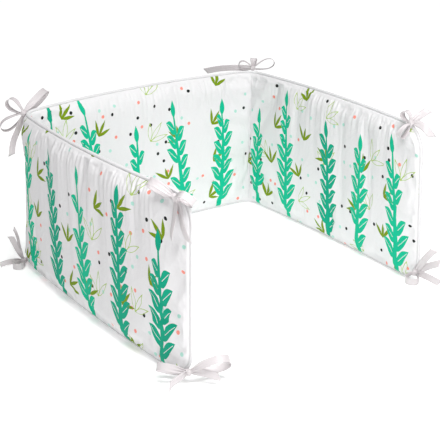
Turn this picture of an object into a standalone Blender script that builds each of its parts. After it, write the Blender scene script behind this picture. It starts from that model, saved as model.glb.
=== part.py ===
"""Crib bumper: one long padded panel of printed cotton, folded twice into three sides of a cot.

It is piped all round and has ribbon ties at the top and the foot of its two folds and its two open ends.
Metres, +Z up. The back side lies along X at +Y, the open side faces -Y, and the panel stands on z = 0.
"""

import math

import bmesh
import bpy
from mathutils import Quaternion, Vector

# Panel
WALL_HEIGHT = 0.330  # foot of the piping to the top of the piping
PAD_THICKNESS = 0.026  # at the crown
EDGE_THICKNESS = 0.006  # where the two covers are sewn together
CROWN_REACH = 0.038  # from an edge in to the full thickness
END_RADIUS = 0.045  # corners of the two open ends
SIDE_FULLNESS = 0.14  # how much fuller the wadding is in the middle of a side
FOLD_REACH = 0.055  # how far each side of a fold the panel takes to turn
FOLD_CHANNEL = 0.011  # half the width of the sewn line in a fold
FOLD_DEPTH = 0.48  # share of the thickness that the sewn line takes away

# Piping
PIPING_RADIUS = 0.0035  # to its flats
PIPING_SIDES = 6
GAP = 0.0003  # between two pieces that touch

# Ribbon
RIBBON_WIDTH = 0.014
RIBBON_THICKNESS = 0.0012
KNOT_RADIUS = 0.0075
KNOT_SEGMENTS = 10
KNOT_RINGS = 6
LOOP_STEPS = 10
TAIL_STEPS = 4

# Lengths along the wall
PLAN_STEP = 0.005
SIDE_STEP = 0.020
ROW_STEP = 0.040
EDGE_ROWS = (0.0, 0.0025, 0.007, 0.014, 0.024)  # rows near an edge, measured from it
CORNER_STEPS = 5  # sections round the corner of an end
SHARP_ANGLE = 50  # degrees between two faces from which their edge is drawn sharp

PAD_FOOT = 2 * PIPING_RADIUS + GAP
PAD_TOP = WALL_HEIGHT - PAD_FOOT

# Middle of the whole bumper on the plan of its corners
CENTRE = Vector((0.0009, -0.3001))

# Corners of the panel in plan: at the foot, and at the top, which leans in a little
CORNERS = (
    # name, foot x, foot y, top x, top y
    ("near_end", -0.302, -0.613, -0.293, -0.608),
    ("left_back", -0.298, -0.002, -0.283, -0.013),
    ("right_back", 0.312, -0.005, 0.313, -0.003),
    ("far_end", 0.288, -0.580, 0.273, -0.572),
)

# How far the middle of each side bows out
SIDES = (
    # name, bow at the foot, bow at the top
    ("left", 0.011, 0.018),
    ("back", 0.015, 0.034),
    ("right", 0.008, 0.022),
)

# Broad soft folds that hang under the gathered top edge. Share is along one side, and heights are from the foot.
# Each is deepest above its middle, by the power that its height is raised to.
FOLD_LEAN = 1.5
HANGING_FOLDS = (
    # side, face, share, half width, lowest height, depth
    ("left", "outer", 0.20, 0.016, 0.12, -0.0030),
    ("left", "outer", 0.30, 0.014, 0.16, 0.0022),
    ("left", "outer", 0.40, 0.016, 0.06, -0.0032),
    ("left", "outer", 0.53, 0.018, 0.10, -0.0026),
    ("left", "outer", 0.63, 0.016, 0.14, 0.0024),
    ("left", "outer", 0.74, 0.018, 0.08, -0.0030),
    ("left", "inner", 0.25, 0.016, 0.14, -0.0026),
    ("left", "inner", 0.55, 0.018, 0.12, -0.0028),
    ("left", "inner", 0.80, 0.016, 0.16, -0.0024),
    ("back", "inner", 0.14, 0.016, 0.18, -0.0024),
    ("back", "inner", 0.38, 0.018, 0.20, -0.0022),
    ("back", "inner", 0.66, 0.016, 0.16, -0.0026),
    ("back", "inner", 0.86, 0.016, 0.15, -0.0024),
    ("back", "outer", 0.22, 0.018, 0.14, -0.0026),
    ("back", "outer", 0.48, 0.018, 0.10, -0.0028),
    ("back", "outer", 0.77, 0.016, 0.14, -0.0026),
    ("right", "inner", 0.16, 0.016, 0.20, -0.0026),
    ("right", "inner", 0.31, 0.014, 0.12, -0.0030),
    ("right", "inner", 0.46, 0.016, 0.10, 0.0024),
    ("right", "inner", 0.57, 0.016, 0.08, -0.0030),
    ("right", "inner", 0.72, 0.016, 0.14, -0.0026),
    ("right", "outer", 0.26, 0.018, 0.12, -0.0026),
    ("right", "outer", 0.60, 0.018, 0.14, -0.0026),
)

# Where each tie is knotted, on the piping. The seat is a place in the piping: a corner and a distance past it
# along the wall, a height, and how far out of the middle of the wall. The knot sits off it in the direction of
# the last three columns.
KNOTS = (
    # name, corner, past it, height, out, along, outward, up
    ("tie_near_top", "near_end", 0.0206, 0.3197, 0.0005, 0.0, 1.0, 0.1),
    ("tie_near_foot", "near_end", 0.0050, 0.0243, 0.0006, -0.85, 0.55, -0.45),
    ("tie_left_top", "left_back", 0.0, 0.3265, 0.0014, 0.0, 1.0, -0.3),
    ("tie_left_foot", "left_back", -0.012, 0.0080, 0.0022, 0.0, 1.0, 0.0),
    ("tie_right_top", "right_back", 0.0, 0.3265, 0.0, 0.0, 0.8, 0.6),
    ("tie_right_foot", "right_back", 0.0, 0.0080, 0.0012, 0.0, 1.0, 0.0),
    ("tie_far_top", "far_end", -0.0250, 0.3222, -0.0010, 0.0, -0.55, 0.85),
    ("tie_far_foot", "far_end", -0.0027, 0.0279, 0.0002, 0.5, -0.7, -0.2),
)

# Loops and free ends of each tie. Heading is in plan, in degrees from +X towards +Y. Turn rolls the ribbon about
# its own run: at 0 its width lies level, and at 90 it stands up. Droop is how far the far end sinks below a
# straight run.
RIBBONS = (
    # tie, kind, heading, rise, length, opening, turn, droop
    ("tie_near_top", "loop", 108, 16, 0.056, 0.028, 34, 0.004),
    ("tie_near_top", "loop", -80, 16, 0.036, 0.026, -8, 0.006),
    ("tie_near_top", "tail", -100, -58, 0.072, 0.0, 84, 0.0),
    ("tie_near_top", "tail", -150, -74, 0.064, 0.0, 30, 0.0),
    ("tie_near_foot", "loop", 128, 4, 0.058, 0.022, 66, 0.0),
    ("tie_near_foot", "loop", -28, 13, 0.070, 0.028, 14, 0.0),
    ("tie_near_foot", "tail", 178, 0, 0.042, 0.0, 90, 0.004),
    ("tie_near_foot", "tail", -56, 0, 0.040, 0.0, 90, 0.004),
    ("tie_left_top", "loop", 129, 38, 0.041, 0.020, 0, 0.0),
    ("tie_left_top", "loop", 158, -32, 0.054, 0.020, 0, 0.0),
    ("tie_left_top", "loop", 28, 14, 0.098, 0.016, 60, 0.0),
    ("tie_left_top", "tail", -168, -63, 0.088, 0.0, 84, 0.0),
    ("tie_left_foot", "tail", 120, 58, 0.058, 0.0, 80, 0.0),
    ("tie_left_foot", "tail", 96, 66, 0.072, 0.0, 80, 0.0),
    ("tie_left_foot", "tail", 168, 0, 0.054, 0.0, 90, 0.0),
    ("tie_left_foot", "loop", -146, 0, 0.034, 0.020, 90, 0.0),
    ("tie_right_top", "tail", 146, -3, 0.112, 0.0, 86, 0.0),
    ("tie_right_top", "loop", -31, 16, 0.052, 0.020, 0, 0.0),
    ("tie_right_top", "loop", 40, 60, 0.024, 0.014, 0, 0.0),
    ("tie_right_top", "loop", 148, 20, 0.034, 0.016, 0, 0.0),
    ("tie_right_foot", "loop", 100, 0, 0.046, 0.022, 90, 0.0),
    ("tie_right_foot", "loop", -10, 0, 0.046, 0.022, 90, 0.0),
    ("tie_right_foot", "tail", 68, 0, 0.062, 0.0, 90, 0.0),
    ("tie_right_foot", "tail", 26, 0, 0.056, 0.0, 90, 0.0),
    ("tie_far_top", "loop", 100, 50, 0.026, 0.014, 0, 0.0),
    ("tie_far_top", "loop", 176, -40, 0.036, 0.014, 0, 0.0),
    ("tie_far_top", "tail", -24, 34, 0.042, 0.0, 60, 0.0),
    ("tie_far_top", "tail", -78, 10, 0.048, 0.0, 60, 0.026),
    ("tie_far_foot", "tail", -76, 58, 0.070, 0.0, 84, 0.0),
    ("tie_far_foot", "tail", -72, 34, 0.062, 0.0, 84, 0.0),
    ("tie_far_foot", "tail", -78, -6, 0.058, 0.0, 90, 0.0),
    ("tie_far_foot", "loop", -150, 0, 0.034, 0.024, 90, 0.006),
)

PAD_COLOUR = (0.86, 0.87, 0.86, 1.0)
PIPING_COLOUR = (0.84, 0.84, 0.84, 1.0)
RIBBON_COLOUR = (0.76, 0.70, 0.71, 1.0)


def clear_scene():
    """Empty the scene, and give back the collections for the pieces and for the shapes joined into them."""
    for thing in list(bpy.data.objects):
        bpy.data.objects.remove(thing, do_unlink=True)
    pieces = bpy.data.collections.new("crib_bumper")
    helpers = bpy.data.collections.new("joined_shapes")
    bpy.context.scene.collection.children.link(pieces)
    bpy.context.scene.collection.children.link(helpers)
    return pieces, helpers


def material(name, colour, roughness):
    """A plain finish in the piece's own colour."""
    finish = bpy.data.materials.new(name)
    finish.use_nodes = True
    shader = finish.node_tree.nodes["Principled BSDF"]
    shader.inputs["Base Color"].default_value = colour
    shader.inputs["Roughness"].default_value = roughness
    shader.inputs["Metallic"].default_value = 0.0
    return finish


def add_object(name, mesh, collection, finish):
    """Put a finished mesh in the scene under its own name."""
    thing = bpy.data.objects.new(name, mesh)
    thing.data.materials.append(finish)
    collection.objects.link(thing)
    return thing


# Plan of the wall


def bowed_side(start, end, bow):
    """Points from one corner towards the next, bowed out of the cot and furthest out half way."""
    run = end - start
    outward = Vector((-run.y, run.x)).normalized()
    count = round(run.length / PLAN_STEP)
    shares = [step / count for step in range(count)]
    return [start + run * s + outward * (bow * (1 - (2 * s - 1) ** 2)) for s in shares]


def softened(points):
    """The same way with its two folds eased round, as wadding turns a corner, and with its ends kept."""
    reach = round(FOLD_REACH / PLAN_STEP)
    first = points[1] - points[0]
    last = points[-1] - points[-2]
    before = [points[0] - first * step for step in range(reach, 0, -1)]
    after = [points[-1] + last * step for step in range(1, reach + 1)]
    line = before + points + after
    weights = [1 + math.cos(math.pi * step / (reach + 1)) for step in range(-reach, reach + 1)]
    total = sum(weights)
    return [
        sum((line[i + k] * w for k, w in enumerate(weights)), Vector((0.0, 0.0))) / total
        for i in range(len(points))
    ]


class PlanLine:
    """The wall's middle line at one level, read by the share of its length."""

    def __init__(self, corners, bows):
        points = []
        for (start, end), bow in zip(zip(corners, corners[1:]), bows):
            points += bowed_side(start, end, bow)
        self.points = softened(points + [corners[-1]])
        self.reached = [0.0]
        for here, there in zip(self.points, self.points[1:]):
            self.reached.append(self.reached[-1] + (there - here).length)
        self.length = self.reached[-1]

    def at(self, share):
        """Point on the line; a share below 0 or above 1 runs straight on past the end."""
        wanted = share * self.length
        last = len(self.points) - 2
        index = 0
        while index < last and self.reached[index + 1] < wanted:
            index += 1
        here = self.points[index]
        step = self.points[index + 1] - here
        return here + step * ((wanted - self.reached[index]) / step.length)

    def share_nearest(self, corner):
        """Share of the length at which the line passes closest to a corner."""
        distances = [(point - corner).length for point in self.points]
        return self.reached[distances.index(min(distances))] / self.length


FOOT_CORNERS = [Vector((x, y)) - CENTRE for _, x, y, _, _ in CORNERS]
TOP_CORNERS = [Vector((x, y)) - CENTRE for _, _, _, x, y in CORNERS]
FOOT_LINE = PlanLine(FOOT_CORNERS, [bow for _, bow, _ in SIDES])
TOP_LINE = PlanLine(TOP_CORNERS, [bow for _, _, bow in SIDES])
PANEL_LENGTH = (FOOT_LINE.length + TOP_LINE.length) / 2
CORNER_AT = {
    name: PANEL_LENGTH * FOOT_LINE.share_nearest(FOOT_CORNERS[index])
    for index, (name, *_) in enumerate(CORNERS)
}
FOLDS_AT = (CORNER_AT["left_back"], CORNER_AT["right_back"])
SIDE_START = {"left": 0.0, "back": FOLDS_AT[0], "right": FOLDS_AT[1]}
SIDE_END = {"left": FOLDS_AT[0], "back": FOLDS_AT[1], "right": PANEL_LENGTH}


def plan_point(along, up):
    """Middle of the wall in plan at a height."""
    share = along / PANEL_LENGTH
    return FOOT_LINE.at(share).lerp(TOP_LINE.at(share), up / WALL_HEIGHT)


def outward_at(along):
    """Level direction out of the wall, away from the cot."""
    ahead = plan_point(along + PLAN_STEP, 0) - plan_point(along - PLAN_STEP, 0)
    return Vector((-ahead.y, ahead.x, 0.0)).normalized()


def wall_point(along, up, out):
    """A place given along the panel, up from the foot and out of its middle, in the round."""
    spot = plan_point(along, up)
    return Vector((spot.x, spot.y, up)) + outward_at(along) * out


# Padded panel


def edge_inset(along):
    """How far the rounded corner of an end cuts in from the top and from the foot."""
    from_end = min(along, PANEL_LENGTH - along)
    if from_end >= END_RADIUS:
        return 0.0
    return END_RADIUS - math.sqrt(max(0.0, END_RADIUS**2 - (END_RADIUS - from_end) ** 2))


def distance_to_edge(along, up):
    """How far inside the panel's rounded outline a place is."""
    across = min(along, PANEL_LENGTH - along)
    upright = min(up - PAD_FOOT, PAD_TOP - up)
    if across < END_RADIUS and upright < END_RADIUS:
        return END_RADIUS - math.hypot(END_RADIUS - across, END_RADIUS - upright)
    return min(across, upright)


def half_thickness(along, up):
    """Half the pad's thickness: crowned, drawn in at its edges, sewn down in its folds."""
    inside = min(1.0, max(0.0, distance_to_edge(along, up)) / CROWN_REACH)
    crown = math.sqrt(1 - (1 - inside) ** 2)
    for name in SIDE_START:
        if SIDE_START[name] <= along <= SIDE_END[name]:
            share = (along - SIDE_START[name]) / (SIDE_END[name] - SIDE_START[name])
            crown *= 1 + SIDE_FULLNESS * math.sin(math.pi * share) * inside
            break
    for fold in FOLDS_AT:
        crown *= 1 - FOLD_DEPTH * math.exp(-(((along - fold) / FOLD_CHANNEL) ** 2))
    return (EDGE_THICKNESS + (PAD_THICKNESS - EDGE_THICKNESS) * crown) / 2


def hanging_folds(along, up, face):
    """How far the broad folds lift or sink one face of the cover."""
    lift = 0.0
    for side, on_face, share, half_width, lowest, depth in HANGING_FOLDS:
        if on_face != face:
            continue
        middle = SIDE_START[side] + share * (SIDE_END[side] - SIDE_START[side])
        across = math.exp(-(((along - middle) / half_width) ** 2))
        rise = min(1.0, max(0.0, (up - lowest) / (PAD_TOP - lowest)))
        lift += depth * across * math.sin(math.pi * rise**FOLD_LEAN)
    return lift


def sections():
    """Places along the panel where its section is drawn, closer together at the ends and the folds."""
    turns = [math.pi / 2 * step / CORNER_STEPS for step in range(CORNER_STEPS + 1)]
    round_end = [END_RADIUS * (1 - math.cos(turn)) for turn in turns]
    at_fold = (-2 * FOLD_CHANNEL, -FOLD_CHANNEL, 0.0, FOLD_CHANNEL, 2 * FOLD_CHANNEL)
    places = round_end + [PANEL_LENGTH - end for end in round_end]
    places += [fold + away for fold in FOLDS_AT for away in at_fold]
    stops = [END_RADIUS, FOLDS_AT[0], FOLDS_AT[1], PANEL_LENGTH - END_RADIUS]
    for start, end in zip(stops, stops[1:]):
        low = start + (2 * FOLD_CHANNEL if start in FOLDS_AT else 0.0)
        high = end - (2 * FOLD_CHANNEL if end in FOLDS_AT else 0.0)
        count = round((high - low) / SIDE_STEP)
        places += [low + (high - low) * step / count for step in range(1, count)]
    return sorted(places)


def row_shares():
    """Shares of the panel's height for the rows of a section."""
    height = PAD_TOP - PAD_FOOT
    inner = height - 2 * EDGE_ROWS[-1]
    count = round(inner / ROW_STEP)
    rows = list(EDGE_ROWS[:-1])
    rows += [EDGE_ROWS[-1] + inner * step / count for step in range(count + 1)]
    rows += [height - row for row in reversed(EDGE_ROWS[:-1])]
    return [row / height for row in rows]


def skin(rings, closed_on_itself):
    """Loft equal rings of points into one closed body."""
    form = bmesh.new()
    loops = [[form.verts.new(point) for point in ring] for ring in rings]
    count = len(loops[0])
    pairs = list(zip(loops, loops[1:]))
    if closed_on_itself:
        pairs.append((loops[-1], loops[0]))
    for here, there in pairs:
        for index in range(count):
            after = (index + 1) % count
            form.faces.new((here[index], here[after], there[after], there[index]))
    if not closed_on_itself:
        for end in (loops[0], loops[-1]):
            for index in range(count // 2 - 1):
                mirror = count - 1 - index
                form.faces.new((end[index], end[index + 1], end[mirror - 1], end[mirror]))
    bmesh.ops.recalc_face_normals(form, faces=form.faces)
    return form


def finished_mesh(form, name):
    """Turn a body into a mesh, smooth but for its real corners."""
    mesh = bpy.data.meshes.new(name)
    form.to_mesh(mesh)
    form.free()
    mesh.shade_smooth()
    mesh.set_sharp_from_angle(angle=math.radians(SHARP_ANGLE))
    return mesh


def build_pad(collection):
    """The filled panel, as a loft of padded sections from one open end to the other."""
    shares = row_shares()
    rings = []
    for along in sections():
        low = PAD_FOOT + edge_inset(along)
        high = PAD_TOP - edge_inset(along)
        heights = [low + (high - low) * share for share in shares]
        outer = []
        inner = []
        for up in heights:
            half = half_thickness(along, up)
            outer.append(wall_point(along, up, half + hanging_folds(along, up, "outer")))
            inner.append(wall_point(along, up, -half - hanging_folds(along, up, "inner")))
        rings.append(outer + inner[::-1])
    mesh = finished_mesh(skin(rings, False), "bumper_pad")
    return add_object("bumper_pad", mesh, collection, material("printed_cotton", PAD_COLOUR, 0.9))


# Piping


def outline():
    """The panel's outline, as places along and up with the direction out of the panel, once round."""
    foot = []
    for along in sections():
        from_end = min(along, PANEL_LENGTH - along)
        turn = math.acos(max(0.0, min(1.0, (END_RADIUS - from_end) / END_RADIUS)))
        sideways = math.cos(turn) if from_end < END_RADIUS else 0.0
        downwards = math.sin(turn) if from_end < END_RADIUS else 1.0
        toward = -sideways if along < PANEL_LENGTH / 2 else sideways
        foot.append((along, PAD_FOOT + edge_inset(along), toward, -downwards))
    both = PAD_FOOT + PAD_TOP
    top = [(along, both - up, toward, -rise) for along, up, toward, rise in reversed(foot)]
    return foot + top


def build_piping(collection):
    """The covered cord in the seam: a ring of small flats that keeps one of them down on the surface."""
    away = GAP + PIPING_RADIUS
    centres = [
        (wall_point(along + toward * away, up + rise * away, 0.0), outward_at(along))
        for along, up, toward, rise in outline()
    ]
    reach = PIPING_RADIUS / math.cos(math.pi / PIPING_SIDES)
    rings = []
    for index, (centre, outward) in enumerate(centres):
        before = centres[index - 1][0]
        after = centres[(index + 1) % len(centres)][0]
        run = (after - before).normalized()
        across = outward.cross(run).normalized()
        ring = []
        for side in range(PIPING_SIDES):
            turn = 2 * math.pi * (side + 0.5) / PIPING_SIDES
            radius = across * math.cos(turn) + outward * math.sin(turn)
            ring.append(centre + radius * reach)
        rings.append(ring)
    mesh = finished_mesh(skin(rings, True), "piping")
    return add_object("piping", mesh, collection, material("piping_cotton", PIPING_COLOUR, 0.85))


# Ties


def ribbon_frame(heading, rise, turn):
    """Run of a ribbon, the way its loop opens and the way its width lies."""
    level = Vector((math.cos(math.radians(heading)), math.sin(math.radians(heading)), 0.0))
    run = level * math.cos(math.radians(rise)) + Vector((0.0, 0.0, math.sin(math.radians(rise))))
    width = Quaternion(run, math.radians(turn)) @ Vector((-level.y, level.x, 0.0))
    return run, width.cross(run), width


def ribbon_route(kind, run, opening_way, length, opening, droop):
    """Middle line of a loop or of a free end, from the knot."""
    steps = LOOP_STEPS if kind == "loop" else TAIL_STEPS
    route = []
    for step in range(steps + 1):
        share = step / steps
        if kind == "loop":
            forward = length * math.sin(math.pi * share)
            aside = opening / 2 * math.sin(2 * math.pi * share)
            aside += RIBBON_THICKNESS * math.cos(math.pi * share)
        else:
            forward = length * share
            aside = 0.0
        sag = Vector((0.0, 0.0, droop * (forward / length) ** 2))
        route.append(run * forward + opening_way * aside - sag)
    return route


def ribbon_mesh(name, knot, kind, heading, rise, length, opening, turn, droop):
    """A flat ribbon swept along its route."""
    run, opening_way, width = ribbon_frame(heading, rise, turn)
    route = ribbon_route(kind, run, opening_way, length, opening, droop)
    rings = []
    for index, spot in enumerate(route):
        before = route[max(0, index - 1)]
        after = route[min(len(route) - 1, index + 1)]
        face = width.cross(after - before).normalized()
        half_width = width * (RIBBON_WIDTH / 2)
        half_face = face * (RIBBON_THICKNESS / 2)
        middle = knot + spot
        near_edge = (middle + half_width + half_face, middle + half_width - half_face)
        far_edge = (middle - half_width - half_face, middle - half_width + half_face)
        rings.append(near_edge + far_edge)
    return finished_mesh(skin(rings, False), name)


def knot_place(corner, past, height, out, along, outward, up):
    """Centre of a knot, one gap off the piping that it is seated on."""
    place = CORNER_AT[corner] + past
    seat = wall_point(place, height, out)
    out_way = outward_at(place)
    along_way = out_way.cross(Vector((0.0, 0.0, 1.0)))
    way = (along_way * along + out_way * outward + Vector((0.0, 0.0, up))).normalized()
    spot = seat + way * (PIPING_RADIUS + GAP + KNOT_RADIUS)
    spot.z = max(spot.z, RIBBON_WIDTH / 2 + GAP)
    return spot


def build_tie(name, seat, pieces, helpers, finish):
    """One ribbon tied in a bow: the knot, with its loops and free ends joined to it."""
    knot = knot_place(*seat)
    ball = bmesh.new()
    bmesh.ops.create_uvsphere(
        ball, u_segments=KNOT_SEGMENTS, v_segments=KNOT_RINGS, radius=KNOT_RADIUS
    )
    bmesh.ops.translate(ball, verts=ball.verts, vec=knot)
    tie = add_object(name, finished_mesh(ball, name), pieces, finish)
    for index, (owner, kind, *shape) in enumerate(RIBBONS):
        if owner != name:
            continue
        label = f"{name}_{kind}_{index}"
        ribbon = add_object(label, ribbon_mesh(label, knot, kind, *shape), helpers, finish)
        ribbon.hide_render = True
        ribbon.display_type = "WIRE"
        joint = tie.modifiers.new(label, "BOOLEAN")
        joint.operation = "UNION"
        joint.solver = "EXACT"
        joint.object = ribbon
    return tie


def main():
    pieces, helpers = clear_scene()
    build_pad(pieces)
    build_piping(pieces)
    ribbon = material("tie_ribbon", RIBBON_COLOUR, 0.45)
    for name, *seat in KNOTS:
        build_tie(name, seat, pieces, helpers, ribbon)


main()
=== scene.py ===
# %% [markdown]
# # A crib bumper
#
# This lesson dresses a crib bumper: one long padded panel of printed cotton, folded twice so that it stands
# round three sides of a cot. A corded piping is sewn into its edge, the cover is gathered into the top
# seam, and satin ribbons are tied in bows at the folds and at the two open ends.
#
# The solids of the part are already made, in metres, and they are loaded first. Everything below is placed
# by the same sizes, so that the cloth lies where its solid is.

# %% Load the solids
import math

import bmesh
import bpy
import numpy as np
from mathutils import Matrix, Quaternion, Vector


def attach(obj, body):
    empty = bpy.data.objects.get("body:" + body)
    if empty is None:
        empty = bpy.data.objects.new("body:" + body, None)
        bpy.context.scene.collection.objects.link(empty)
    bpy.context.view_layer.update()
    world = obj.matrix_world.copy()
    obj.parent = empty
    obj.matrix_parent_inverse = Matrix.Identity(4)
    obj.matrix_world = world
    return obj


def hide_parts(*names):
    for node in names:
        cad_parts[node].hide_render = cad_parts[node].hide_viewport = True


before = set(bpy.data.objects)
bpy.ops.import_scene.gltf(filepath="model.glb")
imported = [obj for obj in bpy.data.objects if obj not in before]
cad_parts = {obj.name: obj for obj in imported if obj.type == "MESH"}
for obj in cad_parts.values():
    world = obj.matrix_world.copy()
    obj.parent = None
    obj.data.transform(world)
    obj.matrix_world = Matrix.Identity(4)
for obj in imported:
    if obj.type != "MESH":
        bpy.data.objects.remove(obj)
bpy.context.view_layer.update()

print("solids:", sorted(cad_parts))

# %% [markdown]
# ## Camera
#
# A camera that looks down a little, from in front of the left side. Its place was found from the bumper's
# own corners, so the lens is set in millimetres and nothing has to be shifted.

# %% Camera
CAMERA_PLACE = (-1.1199, -1.4789, 0.8610)
CAMERA_AZIMUTH = math.radians(-37.05)
CAMERA_ELEVATION = math.radians(21.86)
CAMERA_LENS = 80.1  # millimetres
SENSOR_WIDTH = 36.0  # millimetres


def add_object(name, data, place=(0.0, 0.0, 0.0)):
    thing = bpy.data.objects.new(name, data)
    thing.location = place
    bpy.context.scene.collection.objects.link(thing)
    return thing


def aim(thing, way, front="-Z"):
    thing.rotation_mode = "QUATERNION"
    thing.rotation_quaternion = Vector(way).to_track_quat(front, "Y")


def add_camera():
    data = bpy.data.cameras.new("camera")
    data.sensor_width = SENSOR_WIDTH
    data.lens = CAMERA_LENS
    camera = add_object("camera", data, CAMERA_PLACE)
    level = math.cos(CAMERA_ELEVATION)
    aim(camera, (
        -math.sin(CAMERA_AZIMUTH) * level,
        math.cos(CAMERA_AZIMUTH) * level,
        -math.sin(CAMERA_ELEVATION),
    ))
    bpy.context.scene.camera = camera
    return camera


print("camera at", tuple(round(c, 3) for c in add_camera().location))

# %% [markdown]
# ## Floor and light
#
# White cloth shows its folds only where the light comes from one side. A broad light from above makes the
# floor white and catches the upper edges. A soft lamp stands in front and to the left, close enough to fall
# off along the left side, and a pale sky fills in the rest. The floor is a light table, as for goods in a
# catalogue: it glows a little, so the shadow at the foot of the wall stays pale.

# %% Floor and light
LAMPS = (
    # name, place, what it points at, size, watts
    ("front_lamp", (-1.00, -1.66, 0.60), (-0.2, -0.2, 0.12), 0.9, 9.0),
    ("end_lamp", (-0.20, -0.78, 1.08), (0.25, -0.05, 0.2), 0.5, 6.6),
)
TOP_LIGHT_FROM = (0.0, -0.10, 1.0)
TOP_LIGHT_STRENGTH = 2.15
TOP_LIGHT_SPREAD = math.radians(34)
SKY_STRENGTH = 0.15
FLOOR_SIDE = 60.0
FLOOR_GLOW = 0.24
FLOOR_WHITE = (0.98, 0.98, 0.98, 1.0)
WHITE = (1.0, 1.0, 1.0, 1.0)


def fill(node, values):
    """Set inputs of a node, and join those whose value comes out of another node."""
    for label, value in values.items():
        source = getattr(value, "socket", value)
        if isinstance(source, bpy.types.NodeSocket):
            node.id_data.links.new(source, node.inputs[label])
        else:
            node.inputs[label].default_value = source


def add_top_light():
    data = bpy.data.lights.new("top_light", "SUN")
    data.energy = TOP_LIGHT_STRENGTH
    data.angle = TOP_LIGHT_SPREAD
    aim(add_object("top_light", data), TOP_LIGHT_FROM, "Z")


def add_lamp(name, place, target, size, watts):
    data = bpy.data.lights.new(name, "AREA")
    data.shape = "DISK"
    data.size = size
    data.energy = watts
    aim(add_object(name, data, place), Vector(target) - Vector(place))


def add_sky():
    world = bpy.data.worlds.new("sky")
    bpy.context.scene.world = world
    world.use_nodes = True
    fill(world.node_tree.nodes["Background"], {"Color": WHITE, "Strength": SKY_STRENGTH})


def add_floor():
    form = bmesh.new()
    bmesh.ops.create_grid(form, x_segments=1, y_segments=1, size=FLOOR_SIDE / 2)
    mesh = bpy.data.meshes.new("floor")
    form.to_mesh(mesh)
    form.free()
    floor = add_object("floor", mesh)
    paint = bpy.data.materials.new("floor_white")
    paint.use_nodes = True
    fill(paint.node_tree.nodes["Principled BSDF"], {
        "Base Color": FLOOR_WHITE,
        "Roughness": 0.9,
        "Emission Color": WHITE,
        "Emission Strength": FLOOR_GLOW,
    })
    mesh.materials.append(paint)


for lamp in LAMPS:
    add_lamp(*lamp)
add_top_light()
add_sky()
add_floor()
bpy.context.scene.view_settings.view_transform = "Standard"
print("lamps:", [name for name, *_ in LAMPS])

# %% [markdown]
# ## The line of the wall
#
# The panel is long and flat before it is folded, so every place on it is given by how far it is along the
# panel, how far up, and how far out of the middle of the wadding. One function turns these into a point in
# the room. It follows the wall's line at the foot and at the top, which bow out between the folds.

# %% The line of the wall
WALL_HEIGHT = 0.330
PIPING_RADIUS = 0.0035
GAP = 0.0003
PAD_FOOT = 2 * PIPING_RADIUS + GAP
PAD_TOP = WALL_HEIGHT - PAD_FOOT
END_RADIUS = 0.045
FOLD_REACH = 0.055
PLAN_STEP = 0.005
CENTRE = np.array([0.0009, -0.3001])
CORNERS = (
    # name, foot x, foot y, top x, top y
    ("near_end", -0.302, -0.613, -0.293, -0.608),
    ("left_back", -0.298, -0.002, -0.283, -0.013),
    ("right_back", 0.312, -0.005, 0.313, -0.003),
    ("far_end", 0.288, -0.580, 0.273, -0.572),
)
SIDES = (
    # name, bow at the foot, bow at the top
    ("left", 0.011, 0.018),
    ("back", 0.015, 0.034),
    ("right", 0.008, 0.022),
)


def bowed_side(start, end, bow):
    run = end - start
    length = np.hypot(*run)
    outward = np.array([-run[1], run[0]]) / length
    count = round(length / PLAN_STEP)
    share = (np.arange(count) / count)[:, None]
    return start + run * share + outward * bow * (1 - (2 * share - 1) ** 2)


def softened(points):
    """The folds eased round, by a moving average."""
    reach = round(FOLD_REACH / PLAN_STEP)
    steps = np.arange(1, reach + 1)[:, None]
    before = points[0] - (points[1] - points[0]) * steps[::-1]
    after = points[-1] + (points[-1] - points[-2]) * steps
    line = np.vstack([before, points, after])
    weights = 1 + np.cos(np.pi * np.arange(-reach, reach + 1) / (reach + 1))
    weights /= weights.sum()
    return np.stack([np.convolve(line[:, axis], weights, "valid") for axis in (0, 1)], axis=1)


class PlanLine:
    """The wall's middle line at one level, read by the share of its length."""

    def __init__(self, corners, bows):
        sides = [bowed_side(a, b, bow) for a, b, bow in zip(corners, corners[1:], bows)]
        self.points = softened(np.vstack([*sides, corners[-1:]]))
        self.steps = np.hypot(*np.diff(self.points, axis=0).T)
        self.reached = np.concatenate([[0.0], np.cumsum(self.steps)])
        self.length = self.reached[-1]

    def at(self, share):
        wanted = share * self.length
        index = np.clip(np.searchsorted(self.reached, wanted) - 1, 0, len(self.steps) - 1)
        here = self.points[index]
        step = self.points[index + 1] - here
        return here + step * ((wanted - self.reached[index]) / self.steps[index])[..., None]

    def share_nearest(self, corner):
        nearest = np.argmin(np.hypot(*(self.points - corner).T))
        return self.reached[nearest] / self.length


foot_corners = np.array([row[1:3] for row in CORNERS]) - CENTRE
top_corners = np.array([row[3:5] for row in CORNERS]) - CENTRE
foot_line = PlanLine(foot_corners, [bow for _, bow, _ in SIDES])
top_line = PlanLine(top_corners, [bow for _, _, bow in SIDES])
PANEL_LENGTH = (foot_line.length + top_line.length) / 2
corner_at = {
    row[0]: PANEL_LENGTH * foot_line.share_nearest(corner)
    for row, corner in zip(CORNERS, foot_corners)
}
FOLDS = (corner_at["left_back"], corner_at["right_back"])
SIDE_SPAN = {"left": (0.0, FOLDS[0]), "back": FOLDS, "right": (FOLDS[1], PANEL_LENGTH)}


def plan_point(along, up):
    share = along / PANEL_LENGTH
    foot = foot_line.at(share)
    return foot + (top_line.at(share) - foot) * (up / WALL_HEIGHT)[..., None]


def unit(vectors):
    return vectors / np.linalg.norm(vectors, axis=-1, keepdims=True)


def outward_at(along):
    level = np.zeros_like(along)
    ahead = plan_point(along + PLAN_STEP, level) - plan_point(along - PLAN_STEP, level)
    return unit(np.stack([-ahead[..., 1], ahead[..., 0], level], axis=-1))


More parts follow.
